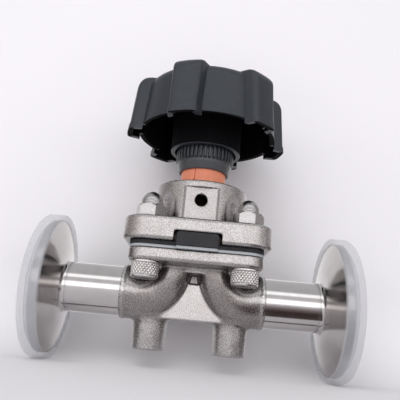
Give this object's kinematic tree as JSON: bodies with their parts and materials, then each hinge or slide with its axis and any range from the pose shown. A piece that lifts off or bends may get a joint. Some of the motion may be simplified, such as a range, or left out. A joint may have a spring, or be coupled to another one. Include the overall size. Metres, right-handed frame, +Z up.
{
  "type": "sanitary diaphragm valve",
  "caption": "In-line weir diaphragm valve for sanitary tube: clamp ends under protective caps, square flanged bonnet, rising hand wheel with lobes and an orange position sleeve.",
  "frame": {"origin": "on the flow axis, straight under the stem", "axes": "+X along the flow from inlet to outlet, +Z up the stem to the hand wheel, -Y the front with the tell-tale hole and the diaphragm's tab"},
  "size_m": [0.1188, 0.0656, 0.1148],
  "materials": {
    "cast_steel": "bead-blasted investment casting, fine grain",
    "polished_steel": "turned and polished stainless steel",
    "machined_steel": "turned stainless steel",
    "screw_steel": "bright stainless steel fasteners",
    "clear_plastic": "milky translucent moulding",
    "fluoropolymer": "pale, waxy",
    "black_rubber": "smooth, dull",
    "bronze": "turned",
    "orange_plastic": "satin moulding",
    "black_plastic": "satin glass-filled moulding"
  },
  "bodies": {
    "valve": {"valve_body": "cast_steel", "inlet_ferrule": "polished_steel", "outlet_ferrule": "polished_steel", "diaphragm_facing": "fluoropolymer", "diaphragm_backing": "black_rubber", "spindle_bush": "bronze", "spindle_seal": "black_rubber", "bonnet": "cast_steel", "cap_screws": "screw_steel", "acorn_nuts": "screw_steel", "indicator_sleeve": "orange_plastic"},
    "lift_carriage": {"compressor": "machined_steel", "compressor_pins": "machined_steel", "diaphragm_stud": "machined_steel"},
    "wheel_group": {"spindle": "machined_steel", "stroke_collar": "black_plastic", "handwheel": "black_plastic", "wheel_washer": "machined_steel", "wheel_nut": "screw_steel", "wheel_cover": "black_plastic"},
    "inlet_cap_body": {"inlet_cap": "clear_plastic"},
    "outlet_cap_body": {"outlet_cap": "clear_plastic"}
  },
  "joints": [
    {"name": "compressor_lift", "type": "slide", "parent": "valve", "child": "lift_carriage", "axis": [0, 0, 1], "range_m": [-0.00701, 0.00081], "deforming": ["diaphragm_facing", "diaphragm_backing"]},
    {"name": "handwheel_turn", "type": "hinge", "parent": "lift_carriage", "child": "wheel_group", "pos_m": [0, 0, 0.0585], "axis": [0, 0, 1], "range_deg": [-1260, 144]},
    {"name": "inlet_cap_pull", "type": "slide", "parent": "valve", "child": "inlet_cap_body", "axis": [-1, 0, 0], "range_m": [0, 0.035]},
    {"name": "outlet_cap_pull", "type": "slide", "parent": "valve", "child": "outlet_cap_body", "axis": [1, 0, 0], "range_m": [0, 0.035]}
  ],
  "couplings": [
    {"joint": "compressor_lift", "follows": "handwheel_turn", "m_per_rad": 0.00031831}
  ]
}
